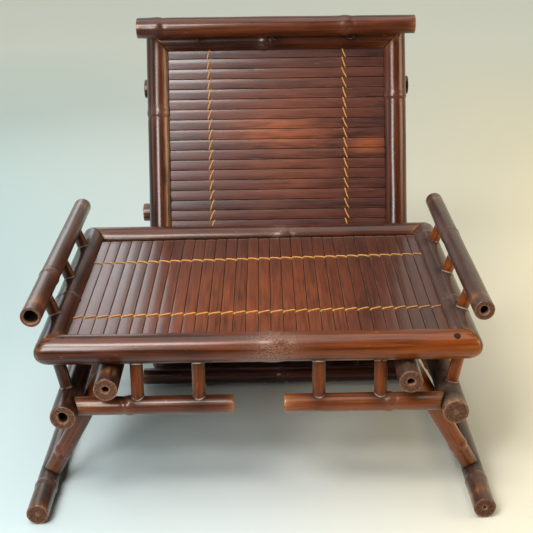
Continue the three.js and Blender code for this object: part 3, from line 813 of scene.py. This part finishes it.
# Slat panels: sizes that the frame doesn't give, in metres and degrees
slatSettings = {
    "count": 30, "gap": 0.00014, "thickness": 0.003, "edge": 0.0005, "footRise": 0.0005, "endBevel": 0.0004,
    "footOverlap": 0.00005, "endZone": 0.004, "rings": 30,
    "rearGap": 0.006, "frontTuck": 0.0025, "tilt": 0.5, "slide": 0.0005, "seed": {"seat": 5, "back": 8},
    "crown": {"seat": 0.00022, "back": 0.00042}, "lean": {"seat": 0.006, "back": 0},
}


# A closed outline repeated along a piece: quads between its rings, and a face at either end
def sweptFaces(count, sides):
    last = (count - 1) * sides
    return ringFaces(count, sides) + [tuple(range(sides - 1, -1, -1)), tuple(range(last, last + sides))]


def slatMesh(name, width, length, look, crown):
    half = width / 2
    foot = half + look["gap"] / 2 + look["footOverlap"]     # the slats' feet touch below the gap
    across = np.concatenate([
        [-0.85 * half, -foot, -half], np.linspace(-half + look["edge"], half - look["edge"], 9),
        [half, foot, 0.85 * half, 0.45 * half, 0, -0.45 * half]])
    top = -crown * (across / half) ** 2
    top[[2, 12]] = -crown - look["edge"]
    top[[1, 13]] = -look["thickness"] + look["footRise"]
    top[[0, 14, 15, 16, 17]] = -look["thickness"]
    end, bevel = length / 2, look["endBevel"]
    stations = np.linspace(-end + look["endZone"], end - look["endZone"], look["rings"])
    stations = np.concatenate([[-end, -end + bevel], stations, [end - bevel, end]])
    points = []
    for i, y in enumerate(stations):
        lift = -bevel if i in (0, len(stations) - 1) else 0
        points += [(x, y, z + (lift if z > -0.5 * look["thickness"] else 0)) for x, z in zip(across, top)]
    mesh = bpy.data.meshes.new(name)
    mesh.from_pydata(points, [], sweptFaces(len(stations), len(across)))
    # The points beside the gaps between slats are marked for painted shade, so that the gaps read dark
    marks = {"cut": ([0, 1, -2, -1], slice(None)), "dirt_and_shade": (slice(None), [1, 2, 12, 13]),
             "edge": (slice(None), [3, 11]), "under": (slice(None), [0, 1, 13, 14, 15, 16, 17])}
    for key, marked in marks.items():
        value = np.zeros((len(stations), len(across)))
        value[marked] = 1
        store(mesh, key, value)
    return mesh


# Geometry Nodes: sockets by name, so that a tree's inputs can be set by identifier
def startTree(name, inputs):
    tree = bpy.data.node_groups.new(name, "GeometryNodeTree")
    tree.interface.new_socket("Geometry", in_out="INPUT", socket_type="NodeSocketGeometry")
    tree.interface.new_socket("Geometry", in_out="OUTPUT", socket_type="NodeSocketGeometry")
    return tree, addSockets(tree, inputs)


def setInputs(modifier, values):
    for item in modifier.node_group.interface.items_tree:
        if item.item_type == "SOCKET" and item.in_out == "INPUT" and item.name in values:
            modifier[item.identifier] = values[item.name]


def randomValue(tree, low, high, seed):
    node = makeNode(tree, "FunctionNodeRandomValue", {"data_type": "FLOAT"}, Seed=seed)
    for socket, value in zip([s for s in node.inputs if s.enabled], (low, high)):
        feed(tree, socket, value)
    return next(s for s in node.outputs if s.enabled)


def storeValue(tree, geometry, name, value, kind, domain):
    node = makeNode(tree, "GeometryNodeStoreNamedAttribute", {"data_type": kind, "domain": domain},
                    Name=name, Geometry=geometry)
    feed(tree, next(s for s in node.inputs if s.name == "Value" and s.enabled), value)
    return node.outputs[0]


# Stores where a point lies before it is copied, which its material takes for the grain
def storeGrain(tree, geometry):
    position = makeNode(tree, "GeometryNodeInputPosition").outputs[0]
    return storeValue(tree, geometry, "grain", position, "FLOAT_VECTOR", "POINT")


# Points side by side along X. The row leans: its two ends stand apart along Y by the lean.
def rowOfPoints(tree, given):
    spaces = mathNode(tree, "SUBTRACT", given["Count"], 1)
    step = joinedXYZ(tree, given["Pitch"], mathNode(tree, "DIVIDE", given["Lean"], spaces))
    first = scaled(tree, step, times(tree, spaces, -0.5))
    line = makeNode(tree, "GeometryNodeMeshLine", Count=given["Count"], Start_Location=first, Offset=step)
    return line.outputs[0]


# Copies a piece along the row, each turned by a random angle
def placeCopies(tree, given, piece, rotation):
    placed = makeNode(tree, "GeometryNodeInstanceOnPoints", Points=rowOfPoints(tree, given), Instance=piece)
    turned = makeNode(tree, "GeometryNodeRotateInstances", Instances=placed.outputs[0], Rotation=rotation)
    return turned.outputs[0]


# Every tree ends alike: a random tone for each copy, real copies, their material
def finishTree(tree, given, copies):
    tone = storeValue(tree, copies, "tone", randomValue(tree, 0.0, 1.0, given["Seed"]), "FLOAT", "INSTANCE")
    realize = makeNode(tree, "GeometryNodeRealizeInstances", Geometry=tone)
    painted = makeNode(tree, "GeometryNodeSetMaterial", Geometry=realize.outputs[0], Material=given["Material"])
    tree.links.new(painted.outputs[0], tree.nodes.new("NodeGroupOutput").inputs[0])
    return tree


# Rows of one strip, side by side along X: each is slid, tilted and toned a little on its own
def makeSlatTree():
    tree, given = startTree("slatRow", {
        "Count": 30, "Pitch": 0.011, "Lean": 0.0, "Tilt": 0.01, "Slide": 0.001, "Seed": 0, "Material": None})
    tilt = randomValue(tree, times(tree, given["Tilt"], -1), given["Tilt"], given["Seed"])
    turned = placeCopies(tree, given, storeGrain(tree, given["Geometry"]), joinedXYZ(tree, y=tilt))
    otherSeed = plus(tree, given["Seed"], 1)
    slide = randomValue(tree, times(tree, given["Slide"], -1), given["Slide"], otherSeed)
    sink = randomValue(tree, times(tree, given["Slide"], -0.3), 0.0, otherSeed)
    moved = makeNode(tree, "GeometryNodeTranslateInstances", Instances=turned,
                     Translation=joinedXYZ(tree, y=slide, z=sink))
    return finishTree(tree, given, moved.outputs[0])


# One thread over each strip, slanted from gap to gap, its ends dipping between the strips
def makeStitchTree():
    tree, given = startTree("stitchRow", {
        "Count": 30, "Pitch": 0.011, "Lean": 0.0, "Slant": 0.005, "Bow": -0.0005, "Lift": 0.001,
        "Thread": 0.0005, "Dip": 0.002, "Seed": 0, "Material": None})
    start, end = (
        joinedXYZ(tree, times(tree, given["Pitch"], side * 0.53), times(tree, given["Slant"], side * 0.5))
        for side in (-1, 1))
    line = makeNode(tree, "GeometryNodeCurvePrimitiveLine", Start=start, End=end)
    fine = makeNode(tree, "GeometryNodeResampleCurve", Curve=line.outputs[0], Count=13)
    factor = makeNode(tree, "GeometryNodeSplineParameter").outputs["Factor"]
    span = mathNode(tree, "SUBTRACT", times(tree, factor, 2), 1)
    span = mathNode(tree, "ABSOLUTE", span)      # 0 in the middle, 1 at both ends
    z = mathNode(tree, "SUBTRACT", given["Lift"], times(tree, mathNode(tree, "POWER", span, 7), given["Dip"]))
    arch = mathNode(tree, "SUBTRACT", 1, mathNode(tree, "POWER", span, 2))
    shaped = makeNode(tree, "GeometryNodeSetPosition", Geometry=fine.outputs[0],
                      Offset=joinedXYZ(tree, y=times(tree, arch, given["Bow"]), z=z))
    profile = makeNode(tree, "GeometryNodeCurvePrimitiveCircle", Resolution=8, Radius=given["Thread"])
    thread = makeNode(tree, "GeometryNodeCurveToMesh", Curve=shaped.outputs[0],
                      Profile_Curve=profile.outputs[0], Fill_Caps=True)
    lean = joinedXYZ(tree, z=randomValue(tree, -0.07, 0.07, given["Seed"]))
    return finishTree(tree, given, placeCopies(tree, given, storeGrain(tree, thread.outputs[0]), lean))


# Runs a tree on a mesh and leaves a plain mesh, moved to its place by a matrix
def growMesh(name, mesh, tree, values, place):
    seed = addObject(name + "_seed", mesh)
    modifier = seed.modifiers.new("grow", "NODES")
    modifier.node_group = tree
    setInputs(modifier, values)
    graph = bpy.context.evaluated_depsgraph_get()
    grown = bpy.data.meshes.new_from_object(seed.evaluated_get(graph), depsgraph=graph)
    seed.modifiers.remove(modifier)
    bpy.data.objects.remove(seed)
    grown.transform(place)
    grown.name = name
    grown.set_sharp_from_angle(angle=math.radians(32))
    return addObject(name, grown)


slatLook = {"deep": (0.011, 0.004, 0.0038, 1), "mid": (0.098, 0.024, 0.012, 1),
            "bright": (0.36, 0.085, 0.02, 1), "worn": (0.3, 0.16, 0.09, 1), "rough": 0.36}


def makeSlatMaterial(name, look):
    material, tree, shader = newMaterial(name)
    shader.inputs["Specular IOR Level"].default_value = 0.25
    shader.inputs["Coat Roughness"].default_value = 0.2
    under, tone = attribute(tree, "under"), attribute(tree, "tone")
    feed(tree, shader.inputs["Coat Weight"], ramp(tree, under, 0.2, 0.6, 0.7, 0.1))
    offset = joinedXYZ(tree, times(tree, tone, 7.3), z=times(tree, tone, 3.1))    # other fibres on each slat
    split = makeNode(tree, "ShaderNodeSeparateXYZ", Vector=attribute(tree, "grain", "Vector")).outputs
    grain = madeFrom(tree, "ShaderNodeVectorMath", {"operation": "ADD"},
                     joinedXYZ(tree, split["X"], split["Z"], split["Y"]), offset)
    fibres = makeNode(tree, "ShaderNodeGroup", {"node_tree": fibreGroup}, Grain=grain, Fibre_Scale=1.5).outputs
    share = plus(tree, times(tree, fibres["Streaks"], 0.48), times(tree, fibres["Clouds"], 0.3))
    share = plus(tree, share, times(tree, tone, 0.25))
    color = mixColour(tree, ramp(tree, share, 0.0, 0.8), look["deep"], look["mid"])
    glow = times(tree, attribute(tree, "glow"), ramp(tree, share, 0.1, 0.8, 0.15, 1.0))
    color = mixColour(tree, glow, color, look["bright"])
    scratches = ramp(tree, noise(tree, stretched(tree, grain, (1, 1, 0.05)), 900, 1, 0.4), 0.72, 0.76)
    color = mixColour(tree, times(tree, scratches, 0.5), color, look["worn"])
    rubbed = ramp(tree, noise(tree, stretched(tree, grain, (1, 1, 0.2)), 160, 3, 0.6), 0.42, 0.62)
    rubbed = times(tree, rubbed, ramp(tree, attribute(tree, "edge"), 0.55, 1, 0, 0.4))
    rubbed = mathNode(tree, "MAXIMUM", rubbed, ramp(tree, attribute(tree, "cut"), 0.6, 0.9))
    color = mixColour(tree, rubbed, color, look["worn"])
    bare = mixColour(tree, share, look["mid"], look["worn"])
    color = mixColour(tree, ramp(tree, under, 0.4, 0.7, 0, 0.8), color, bare)
    # Painted shade: near black along each slat's sides, in the gaps between the slats
    color = mixColour(tree, ramp(tree, attribute(tree, "dirt_and_shade"), 0.1, 0.9), color, (0.009, 0.005, 0.0045, 1))
    feed(tree, shader.inputs["Base Color"], color)
    rough = ramp(tree, fibres["Clouds"], 0, 1, look["rough"] - 0.04, look["rough"] + 0.08)
    feed(tree, shader.inputs["Roughness"], rough)
    addBump(tree, shader, fibres["Height"], 0.00007)
    return material


def makeThreadMaterial(name):
    material, tree, shader = newMaterial(name)
    shader.inputs["Roughness"].default_value = 0.55
    grain = attribute(tree, "grain", "Vector")
    twist = makeNode(tree, "ShaderNodeTexWave", {"bands_direction": "DIAGONAL"}, Vector=grain, Scale=420.0,
                     Distortion=1.0)
    fuzz = noise(tree, grain, 900, 3, 0.6)
    color = mixColour(tree, ramp(tree, fuzz, 0.3, 0.7), (0.42, 0.17, 0.03, 1), (0.82, 0.43, 0.09, 1))
    color = mixColour(tree, ramp(tree, attribute(tree, "tone"), 0, 1, 0, 0.5), color, (0.55, 0.26, 0.07, 1))
    where = makeNode(tree, "ShaderNodeTexCoord").outputs["Object"]
    fromMiddle = mathNode(tree, "ABSOLUTE", makeNode(tree, "ShaderNodeSeparateXYZ", Vector=where).outputs["X"])
    endShade = ramp(tree, fromMiddle, 0.115, 0.155, 0, 0.65)        # painted shade: each row's thread is duller and darker towards its ends
    feed(tree, shader.inputs["Base Color"], mixColour(tree, endShade, color, (0.27, 0.14, 0.085, 1)))
    addBump(tree, shader, twist.outputs["Fac"], 0.0002, 0.7)
    return material


slatMaterial = makeSlatMaterial("slatLacquer", slatLook)
threadMaterial = makeThreadMaterial("goldenThread")
slatTree, stitchTree = makeSlatTree(), makeStitchTree()
# Each row of stitches: its place from the rail's axis, how much it leans, and how its stitches slant
stitchSettings = {
    "thread": 0.00068, "dip": 0.0022, "underDip": -0.002, "lift": 0.0003, "seed": {"front": 3, "rear": 9},
    "seat": {"front": {"inset": 0.0600, "lean": 0.012, "slant": 0.0048, "bow": -0.0005},
             "rear": {"inset": 0.0755, "lean": 0.012, "slant": -0.0026, "bow": 0.0009}},
    "back": {"front": {"inset": 0.0575, "lean": 0.002, "slant": -0.0046, "bow": -0.0005},
             "rear": {"inset": 0.0545, "lean": 0.003, "slant": 0.0046, "bow": -0.0005}},
}
# The battens are darkened a little all over through the grime and shade value
battenSettings = {"halfWidth": 0.007, "thickness": 0.004, "endGap": 0.001, "warm": 0.35, "grime": 0.2}
ledgeSettings = {"depth": 0.013, "reach": 0.0006, "thickness": 0.003, "gap": 0.0001, "shadowEdge": 0.003}


def trayMatrix(tray, offset=(0, 0, 0)):
    turn = turns[tray]
    matrix = Matrix(turn.tolist()).to_4x4()
    matrix.translation = Vector(turn @ (trays[tray]["middle"] + np.array(offset)))
    return matrix


# A straight strip with bevelled long edges, in rings along X
def stripMesh(low, high, edge=0.0008, rings=40):
    (x0, y0, z0), (x1, y1, z1) = low, high
    outline = [(y0, z0 + edge), (y0, z1 - edge), (y0 + edge, z1), (y1 - edge, z1),
               (y1, z1 - edge), (y1, z0 + edge), (y1 - edge, z0), (y0 + edge, z0)]
    points = [(x, y, z) for x in np.linspace(x0, x1, rings) for y, z in outline]
    return np.array(points), sweptFaces(rings, len(outline))


def addStrip(name, tray, points, faces, values):
    matrix = trayMatrix(tray)
    placed = [matrix @ Vector(p) for p in points]
    return meshObject(name, placed, faces, points[:, [1, 2, 0]], values, lacquerMaterials["warm"])


# A split strip on the rear rail, seen through the gap behind the seat's slats: pale and worn at its left end, and
# painted dark towards the right and at its rear as the shadow in that gap
def addLedge(inner, bottom, end):
    look = ledgeSettings
    points, faces = stripMesh((-end, inner - look["depth"], bottom - look["thickness"]),
                              (end, inner + look["reach"], bottom - look["gap"]))
    left = np.clip(0.5 - points[:, 0] / end, 0, 1)
    rear = points[:, 1] > inner - look["shadowEdge"]
    # Painted shadow: fully dark along the rear edge and darker towards the right; the left end is worn pale
    values = {"warm": 0.5, "edge": left, "grime": np.where(rear, 1, 0.8 - 0.6 * left)}
    ledge = addStrip("seat_rear_ledge", "seat", points, faces, values)
    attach(ledge, "seat")


def buildPanel(tray, node):
    look = slatSettings
    low, high = turnedBox(node, tray)
    top = slatTop[tray]
    bottom = top - look["thickness"]
    width = high[0] - low[0]
    pitch = width / look["count"]
    inner = trays[tray]["halfDepth"] - math.sqrt(railRadius ** 2 - top ** 2)
    frontEnd = -inner - look["frontTuck"]
    rearEnd = inner - look["rearGap"] if tray == "seat" else inner + look["frontTuck"]
    strip = slatMesh(f"{node}_strip", pitch - look["gap"], rearEnd - frontEnd, look, look["crown"][tray])
    place = trayMatrix(tray, (0, (frontEnd + rearEnd) / 2, top))
    slats = growMesh(f"{node}_strips", strip, slatTree, {
        "Count": look["count"], "Pitch": pitch, "Lean": look["lean"][tray], "Tilt": math.radians(look["tilt"]),
        "Slide": look["slide"], "Seed": look["seed"][tray], "Material": slatMaterial}, place)
    glowPatches(slats, tray)
    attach(slats, tray)
    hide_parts(node)
    half, thickness = battenSettings["halfWidth"], battenSettings["thickness"]
    battenEnd = trays[tray]["halfLength"] - railRadius - battenSettings["endGap"]
    if tray == "seat":
        addLedge(inner, bottom, battenEnd)
    for word, side in (("front", -1), ("rear", 1)):
        row = stitchSettings[tray][word]
        y = side * (trays[tray]["halfDepth"] - row["inset"])
        points, faces = stripMesh((-battenEnd, -half, bottom - thickness), (battenEnd, half, bottom))
        points[:, 1] += y + row["lean"] * points[:, 0] / width
        batten = addStrip(f"{tray}_{word}_batten", tray, points, faces,
                          {"warm": battenSettings["warm"], "grime": battenSettings["grime"]})
        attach(batten, tray)
        lift = stitchSettings["lift"]
        for label, z, lift, dip, slant in (
                ("stitches", top, lift, stitchSettings["dip"], row["slant"]),
                ("under_stitches", bottom - thickness, -lift, stitchSettings["underDip"], -row["slant"])):
            empty = bpy.data.meshes.new("thread")
            stitches = growMesh(f"{tray}_{word}_{label}", empty, stitchTree, {
                "Count": look["count"], "Pitch": pitch, "Lean": row["lean"], "Slant": slant, "Lift": lift,
                "Bow": row["bow"], "Thread": stitchSettings["thread"], "Dip": dip,
                "Seed": stitchSettings["seed"][word], "Material": threadMaterial}, trayMatrix(tray, (0, y, z)))
            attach(stitches, tray)


# Where the slats are a brighter red: on the back where the stain has worn, on the seat towards its front middle.
# Places and half widths as shares of the panel, and how much
glowSettings = {
    "seat": [((-0.02, -0.35), (0.55, 0.9), 0.5)],
    "back": [((-0.42, 0.0), (0.10, 0.42), 1.0), ((-0.335, 0.77), (0.05, 0.17), 1.0),
             ((-0.4, 0.05), (0.45, 0.5), 0.3)],
}


def glowPatches(obj, tray):
    local = meshPoints(obj.data) @ turns[tray] - trays[tray]["middle"]
    x, y = local[:, 0] / trays[tray]["halfLength"], local[:, 1] / trays[tray]["halfDepth"]
    glow = np.zeros(len(x))
    for (cx, cy), (wx, wy), amount in glowSettings[tray]:
        glow = np.maximum(glow, amount * np.exp(-((x - cx) / wx) ** 4 - ((y - cy) / wy) ** 2))
    store(obj.data, "glow", glow)


for tray, node in (("seat", "seat_slats"), ("back", "back_slats")):
    buildPanel(tray, node)
print("slat panels and stitches built")

# Colours of the floor and the surroundings, which are dim on the viewer's side as the lacquer mirrors them
stageLook = {"left": (0.40, 0.58, 0.60, 1), "middle": (0.60, 0.64, 0.62, 1), "right": (0.92, 0.79, 0.50, 1),
             "far": (0.93, 0.95, 0.82, 1), "dim": (0.03, 0.03, 0.032, 1), "halfFloor": 9}


def sideGradient(tree, value, low, high):
    node = makeNode(tree, "ShaderNodeValToRGB", Fac=ramp(tree, value, low, high))
    elements = node.color_ramp.elements
    elements[0].color, elements[1].color = stageLook["left"], stageLook["right"]
    elements.new(0.5).color = stageLook["middle"]
    return node.outputs[0]


half = stageLook["halfFloor"]
corners = [(-half, -half, 0), (half, -half, 0), (half, half, 0), (-half, half, 0)]
floorMesh = bpy.data.meshes.new("floor")
floorMesh.from_pydata(corners, [], [(0, 1, 2, 3)])
floor = addObject("floor", floorMesh)
floorMaterial, tree, shader = newMaterial("paleFloor")
shader.inputs["Roughness"].default_value = 0.75
where = makeNode(tree, "ShaderNodeTexCoord").outputs["Object"]
split = makeNode(tree, "ShaderNodeSeparateXYZ", Vector=where).outputs
gradient = sideGradient(tree, split["X"], -0.5, 0.5)
gradient = mixColour(tree, ramp(tree, split["Y"], 0.15, 2.0, 0, 0.85), gradient, stageLook["far"])
grainy = noise(tree, where, 300, 3, 0.6)
gradient = mixColour(tree, ramp(tree, grainy, 0.3, 0.7, 0, 0.04), gradient, (0.6, 0.6, 0.58, 1))
mirrored = makeNode(tree, "ShaderNodeLightPath").outputs["Is Glossy Ray"]
front = times(tree, mirrored, ramp(tree, split["Y"], -0.6, -0.25, 0.9, 0))
feed(tree, shader.inputs["Base Color"], mixColour(tree, front, gradient, stageLook["dim"]))
floorMesh.materials.append(floorMaterial)

# The surroundings are pale behind the stand and at its sides, and dim on the viewer's side
world = bpy.data.worlds.new("studio")
bpy.context.scene.world = world
world.use_nodes = True
tree = world.node_tree
where = makeNode(tree, "ShaderNodeTexCoord").outputs["Generated"]
split = makeNode(tree, "ShaderNodeSeparateXYZ", Vector=where).outputs
rays = makeNode(tree, "ShaderNodeLightPath").outputs
pale = sideGradient(tree, split["X"], -0.6, 0.6)
behind = mathNode(tree, "MAXIMUM", ramp(tree, split["Y"], -0.3, 0.5, 0.05, 1.0), rays["Is Camera Ray"])
seen = mathNode(tree, "MAXIMUM", rays["Is Glossy Ray"], rays["Is Transmission Ray"])
seen = mathNode(tree, "MAXIMUM", rays["Is Camera Ray"], seen)
background = tree.nodes["Background"].inputs
feed(tree, background["Color"], mixColour(tree, behind, stageLook["dim"], pale))
feed(tree, background["Strength"], ramp(tree, seen, 0, 1, 0.5, 0.75))

lights = {
    "key": {"place": (-0.36, -0.78, 1.15), "aim": (-0.03, -0.1, 0.15), "size": (0.55, 0.3),
            "power": 10, "color": (1.0, 0.975, 0.95)},
    "window": {"place": (-0.46, -1.05, 0.72), "aim": (-0.08, 0.1, 0.25), "size": (0.36, 0.45),
               "power": 9.5, "color": (0.93, 0.97, 1.0)},
    "rearWindow": {"place": (-0.5, 0.95, 0.62), "aim": (-0.12, -0.08, 0.16), "size": (0.5, 0.35),
                   "power": 1.1, "color": (0.93, 0.97, 1.0)},
    "leftFill": {"place": (-1.2, -0.2, 0.55), "aim": (0, 0, 0.08), "size": (0.6, 0.5),
                 "power": 1.3, "color": (0.86, 0.96, 1.0)},
    "rightFill": {"place": (1.2, -0.25, 0.6), "aim": (0, 0, 0.08), "size": (0.6, 0.5),
                  "power": 5, "color": (1.0, 0.85, 0.62)},
}
for name, look in lights.items():
    data = bpy.data.lights.new(name, "AREA")
    data.shape = "RECTANGLE"
    data.size, data.size_y = look["size"]
    data.energy = look["power"]
    data.color = look["color"]
    lamp = addObject(name, data)
    lamp.location = look["place"]
    lamp.rotation_euler = (Vector(look["aim"]) - Vector(look["place"])).to_track_quat("-Z", "Y").to_euler()
    lamp.visible_camera = False
skySettings = {"power": 1.4, "spread": 60, "turn": (4, -8, 0)}
sky = addObject("sky", bpy.data.lights.new("sky", "SUN"))
sky.data.energy = skySettings["power"]
sky.data.angle = math.radians(skySettings["spread"])
sky.rotation_euler = [math.radians(turn) for turn in skySettings["turn"]]

cameraSettings = {"fromSeat": (0.0091, -0.9377, 0.4074), "pitch": -22.48, "yaw": -0.07, "roll": -0.93,
                  "lens": 71.6, "sensor": 36}
pitch, yaw, roll = (math.radians(cameraSettings[k]) for k in ("pitch", "yaw", "roll"))
look = Vector((math.sin(yaw) * math.cos(pitch), math.cos(yaw) * math.cos(pitch), math.sin(pitch)))
level = Vector((math.cos(yaw), -math.sin(yaw), 0))
upward = level.cross(look)
rightward = level * math.cos(roll) + upward * math.sin(roll)
upward = rightward.cross(look)
camera = addObject("camera", bpy.data.cameras.new("camera"))
camera.data.lens = cameraSettings["lens"]
camera.data.sensor_width = cameraSettings["sensor"]
camera.matrix_world = Matrix((rightward, upward, -look)).transposed().to_4x4()
camera.matrix_world.translation = Vector(seat["middle"] + np.array(cameraSettings["fromSeat"]))
bpy.context.scene.camera = camera
bpy.context.scene.view_settings.view_transform = "Standard"
print("stage, lights and camera ready")
